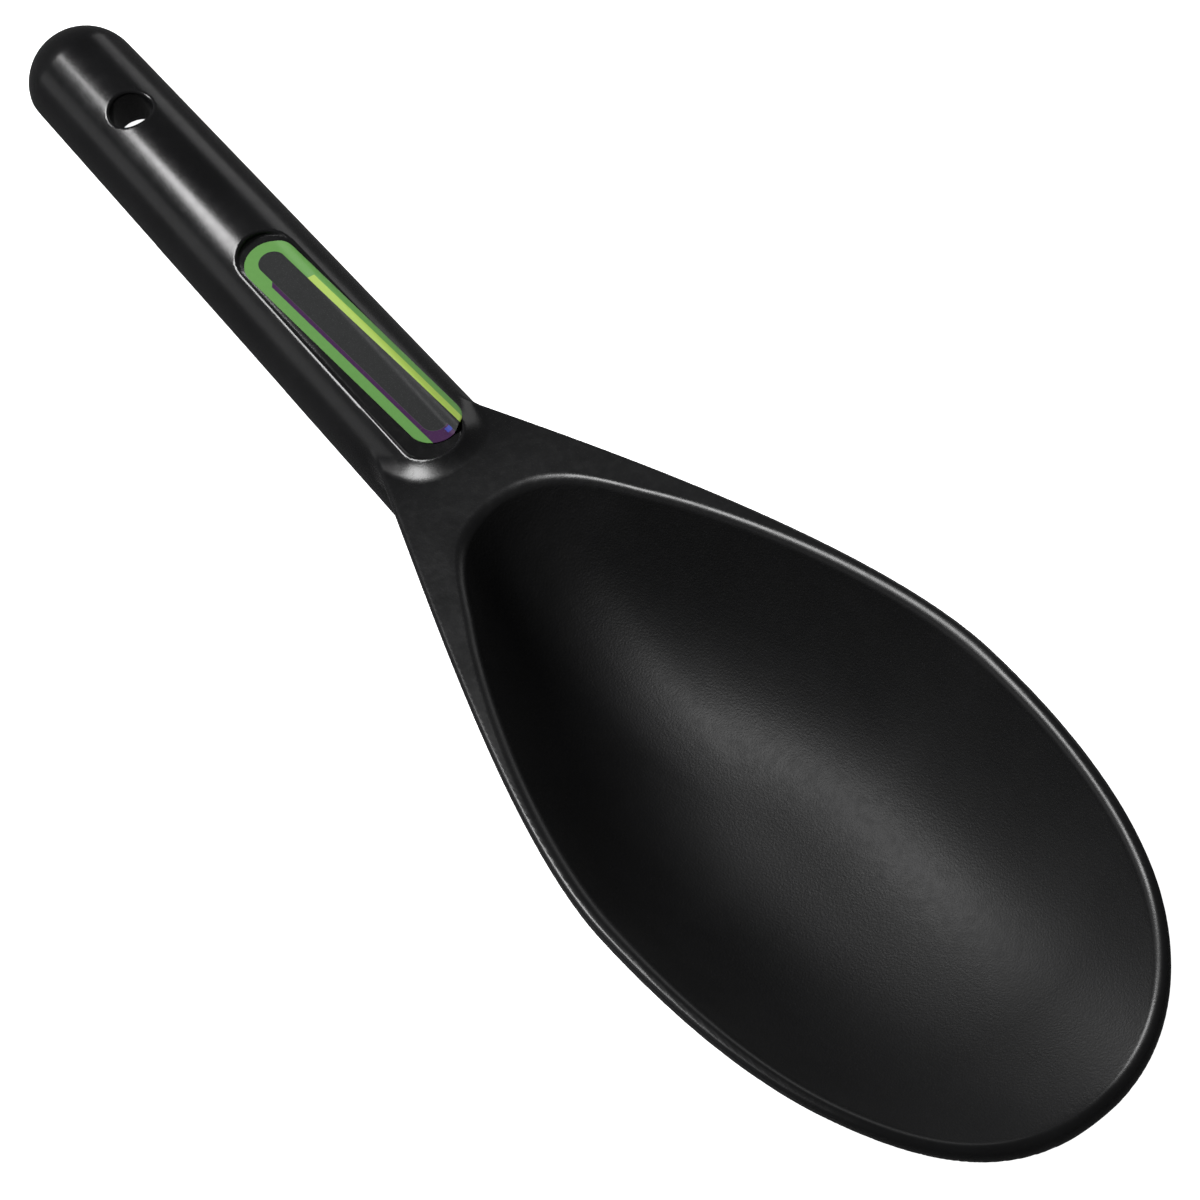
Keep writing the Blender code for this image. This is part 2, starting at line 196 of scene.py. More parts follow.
def sheet_thickness(x):
    past = np.clip((x - LIP_TAPER_START_X) / (LIP_X - LIP_TAPER_START_X), 0, 1)
    return WEB_THICKNESS + (LIP_THICKNESS - WEB_THICKNESS) * past


def grip_radius(x):
    share = (x - BUTT_X) / (0 - BUTT_X)
    return BUTT_RADIUS + (NECK_RADIUS - BUTT_RADIUS) * share


def outline(curves):
    """A half outline from back to lip as points and unit normals that point out of it."""
    t = np.linspace(0, 1, OUTLINE_STEPS + 1)
    parts = [cubic(curve, t)[:-1] for curve in curves]
    points = np.vstack([*parts, cubic(curves[-1], [1.0])])
    along = np.gradient(points, axis=0)
    normal = np.stack([-along[:, 1], along[:, 0]], axis=1)
    normal /= np.linalg.norm(normal, axis=1)[:, None]
    return points, normal


class Polar:
    """A half outline by its bearing from the bowl's centre: its radius, and how squarely the two meet."""

    def __init__(self, points, normal):
        arm = points - (BOWL_CENTRE_X, 0.0)
        radius = np.linalg.norm(arm, axis=1)
        bearing = np.arctan2(np.abs(arm[:, 1]), arm[:, 0])
        order = np.argsort(bearing)
        self.bearing = bearing[order]
        self.radius = radius[order]
        self.square = np.abs((arm * normal).sum(axis=1) / radius)[order]
        self.x = points[order, 0]

    def read(self, bearing):
        return np.interp(bearing, self.bearing, self.radius)

    def squareness(self, bearing):
        return np.interp(bearing, self.bearing, self.square)

    def x_at(self, bearing):
        return np.interp(bearing, self.bearing, self.x)


mouth_points, mouth_normal = outline((MOUTH_BACK, MOUTH_SIDE, MOUTH_FRONT))
outer_points, outer_normal = outline((OUTER_SIDE, OUTER_FRONT))
mouth = Polar(mouth_points, mouth_normal)
outer = Polar(outer_points, outer_normal)


def skirt_outline():
    """The top of the bowl's outer wall: the mouth grown by the wall, kept just inside the outer edge."""
    grown = mouth_points + mouth_normal * BOWL_WALL
    arm = grown - (BOWL_CENTRE_X, 0.0)
    radius = np.linalg.norm(arm, axis=1)
    bearing = np.arctan2(np.abs(arm[:, 1]), arm[:, 0])
    room = outer.read(bearing) - OUTER_STEP / outer.squareness(bearing)
    kept = np.minimum(radius, room)
    return Polar((BOWL_CENTRE_X, 0.0) + arm * (kept / radius)[:, None], mouth_normal)


skirt = skirt_outline()


def both(a, b, radius):
    """Where both shapes are, with a round edge."""
    edge = np.hypot(np.maximum(a + radius, 0), np.maximum(b + radius, 0))
    return np.minimum(-radius, np.maximum(a, b)) + edge


def either(a, b, radius):
    """Where either shape is, with a round inside corner."""
    return -both(-a, -b, radius)


def bowl_floor(ring, rho, bearing, x, depth, start):
    """Height of a bowl surface hung from a ring, and the slope it has away from the centre."""
    reach = ring.read(bearing)
    back = mouth_points[:, 0].min()
    span = np.ptp(mouth_points[:, 0])
    toward_front = np.clip((mouth.x_at(bearing) - back) / span, 0, 1)
    power = BACK_POWER + (FRONT_POWER - BACK_POWER) * toward_front**POWER_BLEND
    share = np.minimum(rho / reach, FIELD_REACH)
    height = sheet_height(x) - start - (depth - start) * (1 - share**power)
    slope = (depth - start) * power * share ** (power - 1) / reach
    return height, slope


def grip_field(x, y, z):
    """Distance to the grip's outer half-round, below zero inside it."""
    past = np.clip((x - NOSE_START_X) / NOSE_LENGTH, 0, NOSE_NARROW_LIMIT)
    narrow = np.sqrt(1 - past**2)
    before = np.minimum(x - BUTT_X, 0)
    radius = grip_radius(np.maximum(x, BUTT_X))
    fall = np.clip((x - NOSE_START_X) / NOSE_DROP_LENGTH, 0, 1)
    falling = np.sqrt(1 - fall**2)
    under_sheet = (sheet_height(x) - WEB_THICKNESS / 2) / radius
    low = np.where(x > NOSE_START_X, np.minimum(1, np.maximum(falling, under_sheet)), 1)
    tube = np.sqrt((y / narrow) ** 2 + (z / low) ** 2 + before**2) - radius
    front = x - (NOSE_START_X + NOSE_FRONT_SHARE * NOSE_LENGTH)
    bar = np.maximum(tube * np.minimum(narrow, low), front)
    return both(bar, -z, GRIP_BASE_RADIUS)


def stadium(x, y, start_x, end_x, half_width):
    middle = np.clip(x, start_x + half_width, end_x - half_width)
    return np.hypot(x - middle, y) - half_width


def body_field(x, y, z):
    """Signed distance, near enough, to the one-piece moulding: below zero inside the plastic."""
    rho = np.hypot(x - BOWL_CENTRE_X, y)
    bearing = np.arctan2(np.abs(y), x - BOWL_CENTRE_X)
    sheet = sheet_height(x)
    tilt = 1 / np.sqrt(1 + sheet_slope(x) ** 2)
    top = (z - sheet) * tilt
    rim = (rho - outer.read(bearing)) * outer.squareness(bearing)
    slab = both(top, rim, EDGE_RADIUS)

    thickness = sheet_thickness(x)
    outside, steep = bowl_floor(skirt, rho, bearing, x, BOWL_DEPTH + BOWL_WALL, thickness)
    bowl_under = (outside - z) / np.sqrt(1 + steep**2)
    web_under = (sheet - thickness - z) * tilt
    under = either(bowl_under, web_under, UNDER_WEB_FILLET)
    shell = both(slab, under, LOWER_EDGE_RADIUS)
    table = -(z + (x - (BUTT_X - BUTT_RADIUS)) * math.tan(REST_ANGLE)) * math.cos(REST_ANGLE)
    shell = both(shell, table, FOOT_RADIUS)

    grip = grip_field(x, y, z)
    solid = either(shell, grip, JOIN_FILLET)
    inside, steep = bowl_floor(mouth, rho, bearing, x, BOWL_DEPTH, 0.0)
    cavity = (z - inside) / np.sqrt(1 + steep**2)
    toward_lip = (WEB_THICKNESS - thickness) / (WEB_THICKNESS - LIP_THICKNESS)
    fillet = MOUTH_SIDE_FILLET + (MOUTH_FILLET - MOUTH_SIDE_FILLET) * toward_lip
    solid = both(solid, cavity, fillet)

    radius = grip_radius(np.maximum(x, BUTT_X))
    before = np.minimum(x - BUTT_X, 0)
    arch = np.sqrt(y**2 + np.maximum(z, 0) ** 2 + before**2) - (radius - GRIP_WALL)
    channel = both(arch, x - CHANNEL_END_X, 2 * INNER_FILLET)
    solid = both(solid, -channel, INNER_FILLET)
    for rib_x in RIB_XS:
        rib = np.maximum(np.abs(x - rib_x) - RIB_THICKNESS / 2, arch - GRIP_WALL / 2)
        rib = both(rib, RIB_SETBACK - z, INNER_FILLET)
        solid = either(solid, rib, INNER_FILLET)
    crest = float(grip_radius(HOLE_X))
    from_hole = np.hypot(x - HOLE_X, y)
    boss = both(from_hole - BOSS_RADIUS, crest - BOSS_DEPTH - z, INNER_FILLET)
    boss = np.maximum(boss, arch - GRIP_WALL / 2)
    solid = either(solid, boss, INNER_FILLET)
    solid = both(solid, HOLE_RADIUS - from_hole, HOLE_FILLET)

    plan = stadium(x, y, PANEL_START_X, PANEL_END_X, PANEL_HALF_WIDTH)
    panel = both(plan, PANEL_FLOOR_Z - z, PANEL_CORNER_RADIUS)
    return both(solid, -panel, PANEL_EDGE_RADIUS)


# ---------------------------------------------------------------- meshing


def field_grid(xs, ys, zs):
    """The moulding's field on a grid, worked out a few planes of X at a time."""
    values = np.empty((len(xs), len(ys), len(zs)), np.float32)
    y, z = np.meshgrid(ys, zs, indexing="ij")
    for start in range(0, len(xs), PLANES_AT_ONCE):
        x = xs[start : start + PLANES_AT_ONCE, None, None]
        values[start : start + PLANES_AT_ONCE] = body_field(x + 0 * y, y + 0 * x, z + 0 * x)
    return values


def surface_net(values, axes):
    """A closed mesh of quads on the grid's zero level, one point for each cell that it crosses."""
    inside = values < 0
    corners = [(i, j, k) for i in (0, 1) for j in (0, 1) for k in (0, 1)]
    size = tuple(n - 1 for n in inside.shape)

    def corner(array, c):
        return array[c[0] : c[0] + size[0], c[1] : c[1] + size[1], c[2] : c[2] + size[2]]

    count = sum(corner(inside, c).astype(np.uint8) for c in corners)
    crossed = (count > 0) & (count < 8)
    cells = np.argwhere(crossed)
    number = np.full(size, -1, np.int64)
    number[crossed] = np.arange(len(cells))
    total = np.zeros((len(cells), 3))
    hits = np.zeros(len(cells))
    for a in corners:
        for axis in range(3):
            if a[axis]:
                continue
            b = tuple(1 if n == axis else a[n] for n in range(3))
            va = values[tuple((cells + a).T)]
            vb = values[tuple((cells + b).T)]
            cross = (va < 0) != (vb < 0)
            share = np.where(cross, va / np.where(cross, va - vb, 1), 0)
            place = np.repeat(np.array(a, float)[None], len(cells), 0)
            place[:, axis] = share
            total[cross] += place[cross]
            hits += cross
    place = cells + total / hits[:, None]
    points = np.stack([np.interp(place[:, n], np.arange(len(axes[n])), axes[n]) for n in range(3)], axis=1)
    quads = []
    for axis in range(3):
        u = (axis + 1) % 3
        v = (axis + 2) % 3
        low = [slice(None)] * 3
        high = [slice(None)] * 3
        low[axis] = slice(0, -1)
        high[axis] = slice(1, None)
        for n in (u, v):
            low[n] = slice(1, -1)
            high[n] = slice(1, -1)
        first = inside[tuple(low)]
        second = inside[tuple(high)]
        for flip, mask in ((False, first & ~second), (True, ~first & second)):
            at = np.argwhere(mask)
            at[:, u] += 1
            at[:, v] += 1
            ring = []
            for du, dv in ((-1, -1), (0, -1), (0, 0), (-1, 0)):
                cell = at.copy()
                cell[:, u] += du
                cell[:, v] += dv
                ring.append(number[tuple(cell.T)])
            ring = np.stack(ring, axis=1)
            quads.append(ring[:, ::-1] if flip else ring)
    return points, np.vstack(quads)


def field_at(points):
    return body_field(points[:, 0], points[:, 1], points[:, 2])


def field_gradient(points):
    slopes = []
    for axis in range(3):
        shift = np.zeros(3)
        shift[axis] = GRADIENT_STEP
        slopes.append((field_at(points + shift) - field_at(points - shift)) / (2 * GRADIENT_STEP))
    return np.stack(slopes, axis=1)


def pull_to_surface(points, rounds=2):
    """Moves points along the field's slope onto its zero level, at most a cell at a time."""
    for _ in range(rounds):
        slope = field_gradient(points)
        steep = np.maximum((slope**2).sum(axis=1), SLOPE_FLOOR)
        move = slope * (field_at(points) / steep)[:, None]
        length = np.linalg.norm(move, axis=1)
        move *= np.minimum(1, CELL / np.maximum(length, 1e-12))[:, None]
        points = points - move
    return points


def relax(points, quads, rounds=3):
    """Evens out the mesh along the surface, then pulls it back onto the surface."""
    edges = np.vstack([quads[:, [0, 1]], quads[:, [1, 2]], quads[:, [2, 3]], quads[:, [3, 0]]])
    count = len(points)
    near = np.bincount(edges[:, 0], minlength=count) + np.bincount(edges[:, 1], minlength=count)
    for _ in range(rounds):
        mean = np.empty_like(points)
        for axis in range(3):
            forth = np.bincount(edges[:, 0], weights=points[edges[:, 1], axis], minlength=count)
            back = np.bincount(edges[:, 1], weights=points[edges[:, 0], axis], minlength=count)
            mean[:, axis] = (forth + back) / near
        points = pull_to_surface(points + 0.5 * (mean - points), rounds=1)
    return points


def read_mesh(mesh):
    points = np.empty(len(mesh.vertices) * 3)
    mesh.vertices.foreach_get("co", points)
    return points.reshape(-1, 3)


def laid_down():
    """The matrix from the grip's frame to the row's frame, taken from the CAD body's box."""
    low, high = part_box("scoop_body")
    turn = Matrix.Rotation(-REST_ANGLE, 4, "Y")
    butt = turn @ Vector((BUTT_X, 0, 0))
    start_x = butt.x - BUTT_RADIUS
    base = turn @ Vector((BUTT_X - BUTT_RADIUS, 0, 0))
    return Matrix.Translation((low[0] - start_x, 0, low[2] - base.z)) @ turn


def add_object(name, mesh):
    obj = bpy.data.objects.new(name, mesh)
    bpy.context.scene.collection.objects.link(obj)
    return obj


def applied(obj):
    """The object's evaluated mesh, as a mesh of its own with no modifiers."""
    bpy.context.view_layer.update()
    graph = bpy.context.evaluated_depsgraph_get()
    mesh = bpy.data.meshes.new_from_object(obj.evaluated_get(graph), depsgraph=graph)
    obj.modifiers.clear()
    obj.data = mesh
    return mesh


def add_share(mesh, name, values):
    layer = mesh.attributes.new(name, "FLOAT", "POINT")
    layer.data.foreach_set("value", np.asarray(values, np.float32))


def make_body(to_row):
    margin = 3 * CELL
    xs = np.arange(BUTT_X - BUTT_RADIUS - margin, LIP_X + margin, CELL)
    half = np.arange(CELL / 2, OUTER_SIDE[3][1] + margin, CELL)
    ys = np.concatenate([-half[::-1], half])
    floor_z = -(LIP_X - BUTT_X) * math.tan(REST_ANGLE)
    zs = np.arange(floor_z - margin, SHEET_PEAK_Z + margin, CELL)
    values = field_grid(xs, ys, zs)
    points, quads = surface_net(values, (xs, ys, zs))
    points = relax(pull_to_surface(points), quads)
    mesh = bpy.data.meshes.new("moulding")
    mesh.from_pydata(points.tolist(), [], quads.tolist())
    body = add_object("moulding", mesh)
    thin = body.modifiers.new("thin_out", "DECIMATE")
    thin.ratio = KEEP_SHARE
    mesh = applied(body)
    mesh.name = "moulding"
    points = pull_to_surface(read_mesh(mesh))
    normals = field_gradient(points)
    normals /= np.linalg.norm(normals, axis=1)[:, None]
    rho = np.hypot(points[:, 0] - BOWL_CENTRE_X, points[:, 1])
    bearing = np.arctan2(np.abs(points[:, 1]), points[:, 0] - BOWL_CENTRE_X)
    share = rho / mouth.read(bearing)
    below = sheet_height(points[:, 0]) - points[:, 2]
    inner = np.clip((below - GRAIN_START) / GRAIN_FADE, 0, 1) * (share < GRAIN_REACH) * (normals[:, 2] > 0)
    bend = (field_at(points) - field_mean(points, normals)) / WEAR_SPREAD
    mesh.vertices.foreach_set("co", points.ravel())
    add_share(mesh, "bowl_grain", inner)
    add_share(mesh, "edge_wear", np.clip(-bend * WEAR_GAIN, 0, 1))
    mesh.transform(to_row)
    mesh.shade_smooth()
    turn = np.array(to_row.to_3x3())
    mesh.normals_split_custom_set_from_vertices((normals @ turn.T).tolist())
    return body


def field_mean(points, normals):
    """The field's mean over four points beside each one: off zero where the surface bends."""
    helper = np.where(np.abs(normals[:, [2]]) < 0.7, (0.0, 0.0, 1.0), (1.0, 0.0, 0.0))
    side = np.cross(normals, helper)
    side /= np.linalg.norm(side, axis=1)[:, None]
    other = np.cross(normals, side)
    total = np.zeros(len(points))
    for direction in (side, -side, other, -other):
        total += field_at(points + direction * WEAR_SPREAD)
    return total / 4


def film_height(x, y):
    """Underside of the film: on the panel's floor, and climbing onto the grip's crest beside the panel."""
    on_grip = math.sqrt(grip_radius(x) ** 2 - y**2)
    share = (y - LABEL_CLIMB_START_Y) / (LABEL_CLIMB_END_Y - LABEL_CLIMB_START_Y)
    share = min(max(share, 0.0), 1.0)
    share = share * share * (3 - 2 * share)
    return PANEL_FLOOR_Z + (on_grip - PANEL_FLOOR_Z) * share + FILM_GAP


def film_outline(half_width):
    """A round-ended ring about the label's middle line, in the label's own plane."""
    reach = LABEL_LENGTH / 2 - LABEL_HALF_WIDTH
    turns = np.radians(np.linspace(-90, 90, FILM_ARC_STEPS + 1))
    sides = np.linspace(-reach, reach, FILM_SIDE_STEPS + 1)[1:-1]
    front = [(reach + half_width * math.cos(t), half_width * math.sin(t)) for t in turns]
    far = [(x, half_width) for x in sides[::-1]]
    back = [(-reach - half_width * math.cos(t), -half_width * math.sin(t)) for t in turns]
    near = [(x, -half_width) for x in sides]
    return front + far + back + near


def film_cap(start, count):
    """Closes a round-ended ring by joining its points across the middle line."""
    half = FILM_ARC_STEPS // 2
    order = [start + (half + i) % count for i in range(count)]
    faces = [(order[0], order[1], order[-1])]
    for i in range(1, count // 2 - 1):
        faces.append((order[i], order[i + 1], order[count - i - 1], order[count - i]))
    faces.append((order[count // 2 - 1], order[count // 2], order[count // 2 + 1]))
    return faces


def make_label(to_row):
    """The film label: a thin sheet with rounded rims that follows the panel and the grip beside it."""
    rims = [(0.0, FILM_RIM), (0.3, 0.0), (0.7, 0.0), (1.0, FILM_RIM)]
    widths = [LABEL_HALF_WIDTH * (1 - k / FILM_RINGS) for k in range(1, FILM_RINGS)]
    layers = [(width, 0.0) for width in widths[::-1]]
    layers += [(LABEL_HALF_WIDTH - inset, FILM_THICKNESS * up) for up, inset in rims]
    layers += [(width, FILM_THICKNESS) for width in widths]
    turned = Matrix.Rotation(LABEL_TURN, 2)
    points = []
    for width, lift in layers:
        for local in film_outline(width):
            place = Vector(LABEL_CENTRE) + turned @ Vector(local)
            points.append((place.x, place.y, film_height(place.x, place.y) + lift))
    count = len(film_outline(LABEL_HALF_WIDTH))
    faces = []
    for k in range(len(layers) - 1):
        low = k * count
        high = low + count
        faces += [(low + i, low + (i + 1) % count, high + (i + 1) % count, high + i) for i in range(count)]
    faces += film_cap(0, count)
    faces += film_cap((len(layers) - 1) * count, count)
    mesh = bpy.data.meshes.new("film_label")
    mesh.from_pydata(points, [], faces)
    bm = bmesh.new()
    bm.from_mesh(mesh)
    bmesh.ops.recalc_face_normals(bm, faces=bm.faces)
    bm.to_mesh(mesh)
    bm.free()
    label = add_object("film_label", mesh)
    mesh.shade_smooth()
    mesh.set_sharp_from_angle(angle=math.radians(50))
    own = Matrix.Translation((*LABEL_CENTRE, PANEL_FLOOR_Z)) @ Matrix.Rotation(LABEL_TURN, 4, "Z")
    mesh.transform(own.inverted())
    label.matrix_world = to_row @ own
    return label


# ---------------------------------------------------------------- materials


class Nodes:
    """Short ways to add and join shader nodes."""

    def __init__(self, name):
        self.material = bpy.data.materials.new(name)
        self.material.use_nodes = True
        self.tree = self.material.node_tree
        self.shader = self.tree.nodes["Principled BSDF"]

    def add(self, kind, **settings):
        node = self.tree.nodes.new(kind)
        for key, value in settings.items():
            setattr(node, key, value)
        return node

    def put(self, value, socket):
        if isinstance(value, bpy.types.NodeSocket):
            self.tree.links.new(value, socket)
        else:
            socket.default_value = value

    def math(self, operation, a, b=0.0):
        node = self.add("ShaderNodeMath", operation=operation)
        for value, socket in zip((a, b), node.inputs):
            self.put(value, socket)
        return node.outputs[0]

    def noise(self, vector, scale, detail=2.0, roughness=0.5):
        node = self.add("ShaderNodeTexNoise")
        self.put(vector, node.inputs["Vector"])
        node.inputs["Scale"].default_value = scale
        node.inputs["Detail"].default_value = detail
        node.inputs["Roughness"].default_value = roughness
        return node.outputs["Fac"]

    def ramp(self, value, low, high, out_low=0.0, out_high=1.0):
        node = self.add("ShaderNodeMapRange", interpolation_type="SMOOTHSTEP")
        self.put(value, node.inputs["Value"])
        self.put(low, node.inputs["From Min"])
        self.put(high, node.inputs["From Max"])
        self.put(out_low, node.inputs["To Min"])
        self.put(out_high, node.inputs["To Max"])
        return node.outputs["Result"]

    def mix(self, share, a, b):
        node = self.add("ShaderNodeMix", data_type="RGBA")
        self.put(share, node.inputs["Factor"])
        ends = [socket for socket in node.inputs if socket.type == "RGBA"]
        for value, socket in zip((a, b), ends):
            self.put((*value, 1.0) if isinstance(value, tuple) else value, socket)
        return [socket for socket in node.outputs if socket.type == "RGBA"][0]

    def attribute(self, name):
        node = self.add("ShaderNodeAttribute", attribute_name=name)
        return node.outputs["Fac"]

    def coordinates(self):
        return self.add("ShaderNodeTexCoord").outputs["Object"]

    def bump(self, height, distance, strength=1.0, normal=None):
        node = self.add("ShaderNodeBump")
        self.put(height, node.inputs["Height"])
        self.put(strength, node.inputs["Strength"])
        node.inputs["Distance"].default_value = distance
        if normal is not None:
            self.put(normal, node.inputs["Normal"])
        return node.outputs["Normal"]


def black_moulding():
    """Satin black plastic: grained in the bowl, glossier on the grip, waved a little at the neck."""
    m = Nodes("black_moulding_look")
    place = m.coordinates()
    grain_share = m.attribute("bowl_grain")
    wear = m.attribute("edge_wear")
    cloud = m.noise(place, 38.0, 3.0)
    fine = m.noise(place, 2300.0, 2.0, 0.6)
    split = m.add("ShaderNodeSeparateXYZ")
    m.put(place, split.inputs[0])
    past_grip = m.ramp(split.outputs["X"], -0.030, -0.012)
    flow = m.noise(place, 420.0, 4.0, 0.6)
    base = m.mix(m.ramp(cloud, 0.35, 0.7), (0.0042, 0.0043, 0.0047), (0.0066, 0.0067, 0.0072))
    speck = m.ramp(fine, 0.58, 0.74)
    base = m.mix(m.math("MULTIPLY", speck, 0.35), base, (0.018, 0.018, 0.019))
    base = m.mix(m.math("MULTIPLY", wear, 0.55), base, (0.022, 0.022, 0.023))
    m.put(base, m.shader.inputs["Base Color"])
    rough = m.ramp(cloud, 0.3, 0.75, 0.19, 0.23)
    rough = m.math("ADD", rough, m.math("MULTIPLY", past_grip, 0.11))
    rough = m.math("ADD", rough, m.math("MULTIPLY", grain_share, 0.23))
    rough = m.math("ADD", rough, m.math("MULTIPLY", m.ramp(flow, 0.4, 0.7), 0.04))
    rough = m.math("SUBTRACT", rough, m.math("MULTIPLY", wear, 0.05))
    m.put(rough, m.shader.inputs["Roughness"])
    m.shader.inputs["IOR"].default_value = 1.5
    m.shader.inputs["Specular IOR Level"].default_value = 0.38
    strength = m.math("ADD", 0.10, m.math("MULTIPLY", grain_share, 0.60))
    normal = m.bump(fine, 0.00012, strength)
    normal = m.bump(flow, 0.00008, 0.12, normal)
    dents = m.noise(place, 85.0, 3.0, 0.55)
    neck = m.math("MULTIPLY", past_grip, m.ramp(split.outputs["X"], 0.0, 0.045, 1.0, 0.0))
    normal = m.bump(dents, 0.0008, m.math("MULTIPLY", neck, 0.35), normal)
    m.put(normal, m.shader.inputs["Normal"])
    return m.material


def label_print():
    """Printed film: a green border round a charcoal field, with a lime and a purple stripe."""
    m = Nodes("label_print_look")
    place = m.coordinates()
    split = m.add("ShaderNodeSeparateXYZ")
    m.put(place, split.inputs[0])
    x = split.outputs["X"]
    y = split.outputs["Y"]
    reach = LABEL_LENGTH / 2 - LABEL_HALF_WIDTH

    def within(value, limit):
        return m.ramp(value, limit - PRINT_SOFTNESS, limit + PRINT_SOFTNESS, 1.0, 0.0)

    def beyond(value, limit):
        return m.ramp(value, limit - PRINT_SOFTNESS, limit + PRINT_SOFTNESS)

    def every(first, *others):
        for other in others:
            first = m.math("MULTIPLY", first, other)
        return first

    def from_field():
        """Distance from the middle line of the dark field."""
        near = m.math("MINIMUM", m.math("MAXIMUM", x, -reach), reach)
        past = m.math("SUBTRACT", x, near)
        side = m.math("SUBTRACT", y, FIELD_CENTRE_Y)
        squares = m.math("ADD", m.math("MULTIPLY", past, past), m.math("MULTIPLY", side, side))
        return m.math("SQRT", squares)

    tone = m.noise(place, 900.0, 3.0, 0.6)
    fibre = m.noise(place, 4000.0, 2.0)
    charcoal = m.mix(tone, (0.021, 0.022, 0.022), (0.030, 0.031, 0.032))
    green = m.mix(tone, (0.122, 0.300, 0.074), (0.142, 0.345, 0.088))
    lime = m.mix(tone, (0.37, 0.53, 0.094), (0.415, 0.585, 0.112))
    purple = m.mix(tone, (0.048, 0.014, 0.060), (0.066, 0.020, 0.084))
    blue = m.mix(tone, (0.040, 0.055, 0.32), (0.055, 0.075, 0.40))

    core = from_field()
    colour = m.mix(within(core, FIELD_HALF_WIDTH), green, charcoal)
    at_end = beyond(x, reach)
    open_end = every(at_end, beyond(y, END_SPLIT_Y), within(y, FIELD_TOP_Y))
    colour = m.mix(open_end, colour, charcoal)
    lime_from = m.math("SUBTRACT", x, m.math("MULTIPLY", y, LIME_SLANT))
    lime_share = every(beyond(y, FIELD_TOP_Y), within(y, LIME_TOP_Y), beyond(lime_from, LIME_START))
    colour = m.mix(lime_share, colour, lime)
    purple_from = m.math("ADD", x, m.math("MULTIPLY", y, PURPLE_SLANT))
    stripe = every(within(y, FIELD_LOW_Y), beyond(y, PURPLE_LOW_Y), beyond(purple_from, PURPLE_START))
    colour = m.mix(every(stripe, within(x, reach)), colour, purple)
    ring = every(at_end, beyond(core, FIELD_HALF_WIDTH), within(y, END_SPLIT_Y), beyond(y, PURPLE_LOW_Y))
    colour = m.mix(ring, colour, purple)
    patch_x = every(beyond(x, reach + PATCH_ENDS[0]), within(x, reach + PATCH_ENDS[1]))
    patch = every(patch_x, beyond(y, PATCH_LOW_Y), within(y, END_SPLIT_Y))
    colour = m.mix(patch, colour, blue)
    speck = m.math("MULTIPLY", m.ramp(fibre, 0.55, 0.8), 0.06)
    colour = m.mix(speck, colour, (0.5, 0.5, 0.5))
    m.put(colour, m.shader.inputs["Base Color"])
    m.put(m.ramp(tone, 0.3, 0.7, 0.46, 0.54), m.shader.inputs["Roughness"])
    m.shader.inputs["IOR"].default_value = 1.45
    m.shader.inputs["Specular IOR Level"].default_value = 0.13
    m.put(m.bump(tone, 0.00003, 0.25), m.shader.inputs["Normal"])
    return m.material


def floor_look():
    """Plain white paper, lit from within so that no shadow shows on it."""
    m = Nodes("pale_floor_look")
    tone = m.noise(m.coordinates(), 6.0, 3.0)
    pale = m.mix(tone, (0.88, 0.88, 0.88), (0.90, 0.90, 0.90))
    m.put(pale, m.shader.inputs["Base Color"])
    m.put(m.ramp(tone, 0.3, 0.7, 0.62, 0.66), m.shader.inputs["Roughness"])
    m.put(pale, m.shader.inputs["Emission Color"])
    m.shader.inputs["Emission Strength"].default_value = 1.2
    return m.material


# ---------------------------------------------------------------- studio


# The camera, in the grip's frame: the way from the scoop to it, its roll, its distance and
# the place of the point that it looks past.
VIEW_WAY = Vector((0.50, -0.225, 0.836))
VIEW_ROLL = 0.822
VIEW_DISTANCE = 0.780
VIEW_SHIFT = (0.012474, 0.021302)
VIEW_AIM = Vector((0.0819, 0.0, 0.0))
LENS_MM = 120.0
SENSOR_MM = 36.0

# The floor, and the places on the scoop that the lights aim at, in the row's frame.
FLOOR_HALF_SIDE = 3.0
FLOOR_GAP = 0.0002
KEY_AIM = (-0.13, 0.0, 0.02)
FILL_AIM = (-0.06, 0.0, 0.02)
AIR_STRENGTH = 0.09


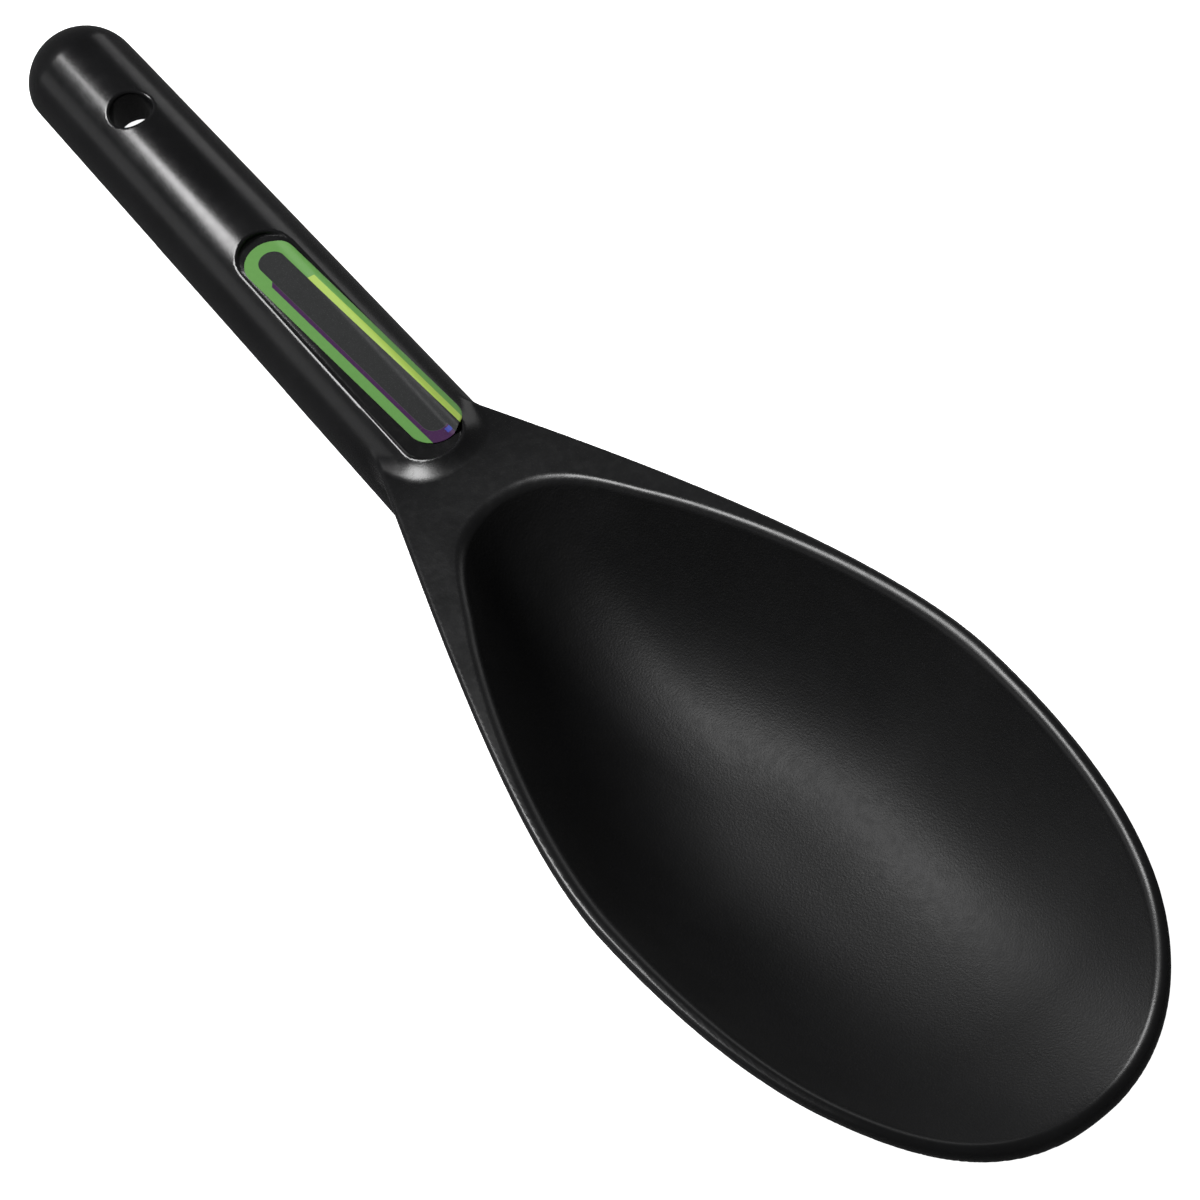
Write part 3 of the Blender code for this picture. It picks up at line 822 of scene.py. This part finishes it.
def make_camera(to_row):
    way = VIEW_WAY.normalized()
    along = Vector((1, 0, 0))
    e1 = (along - way * way.x).normalized()
    forward = -way
    e2 = forward.cross(e1)
    right = e1 * math.cos(VIEW_ROLL) - e2 * math.sin(VIEW_ROLL)
    down = e1 * math.sin(VIEW_ROLL) + e2 * math.cos(VIEW_ROLL)
    eye = VIEW_AIM - right * VIEW_SHIFT[0] - down * VIEW_SHIFT[1] + way * VIEW_DISTANCE
    turn = Matrix((right, -down, way)).transposed().to_4x4()
    data = bpy.data.cameras.new("photo_view")
    data.lens = LENS_MM
    data.sensor_width = SENSOR_MM
    data.clip_start = 0.01
    camera = bpy.data.objects.new("photo_view", data)
    bpy.context.scene.collection.objects.link(camera)
    camera.matrix_world = to_row @ Matrix.Translation(eye) @ turn
    bpy.context.scene.camera = camera


def area_light(name, way, distance, size, power, aim, size_y=None):
    """A soft box at a distance from its aim, in the direction way."""
    data = bpy.data.lights.new(name, "AREA")
    data.energy = power
    data.size = size
    if size_y is not None:
        data.shape = "RECTANGLE"
        data.size_y = size_y
    light = bpy.data.objects.new(name, data)
    bpy.context.scene.collection.objects.link(light)
    toward = Vector(way).normalized()
    light.location = Vector(aim) + toward * distance
    light.rotation_euler = toward.to_track_quat("Z", "Y").to_euler()


def make_studio():
    """A pale floor, a compact key light, and two faint low soft boxes that draw the grip's flanks."""
    mesh = bpy.data.meshes.new("pale_floor")
    bm = bmesh.new()
    bmesh.ops.create_grid(bm, x_segments=8, y_segments=8, size=FLOOR_HALF_SIDE)
    bm.to_mesh(mesh)
    bm.free()
    floor = add_object("pale_floor", mesh)
    floor.location.z = -FLOOR_GAP
    floor.data.materials.append(floor_look())
    floor.visible_glossy = False
    world = bpy.data.worlds.new("studio_air")
    bpy.context.scene.world = world
    world.use_nodes = True
    world.node_tree.nodes["Background"].inputs["Color"].default_value = (1, 1, 1, 1)
    world.node_tree.nodes["Background"].inputs["Strength"].default_value = AIR_STRENGTH
    area_light("key_light", (-0.50, -0.31, 0.81), distance=0.70, size=0.30, power=6.2, aim=KEY_AIM)
    area_light("side_fill", (-0.50, 0.86, 0.16), distance=1.2, size=0.8, power=0.9, aim=FILL_AIM, size_y=0.4)
    area_light("low_fill", (-0.50, -0.80, 0.21), distance=1.2, size=0.8, power=0.7, aim=FILL_AIM, size_y=0.4)
    bpy.context.scene.view_settings.view_transform = "Standard"


def main():
    to_row = laid_down()
    make_camera(to_row)
    make_studio()
    body = make_body(to_row)
    body.data.materials.append(black_moulding())
    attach(body, "root")
    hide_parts("scoop_body")
    label = make_label(to_row)
    label.data.materials.append(label_print())
    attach(label, "root")
    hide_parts("handle_label")


main()
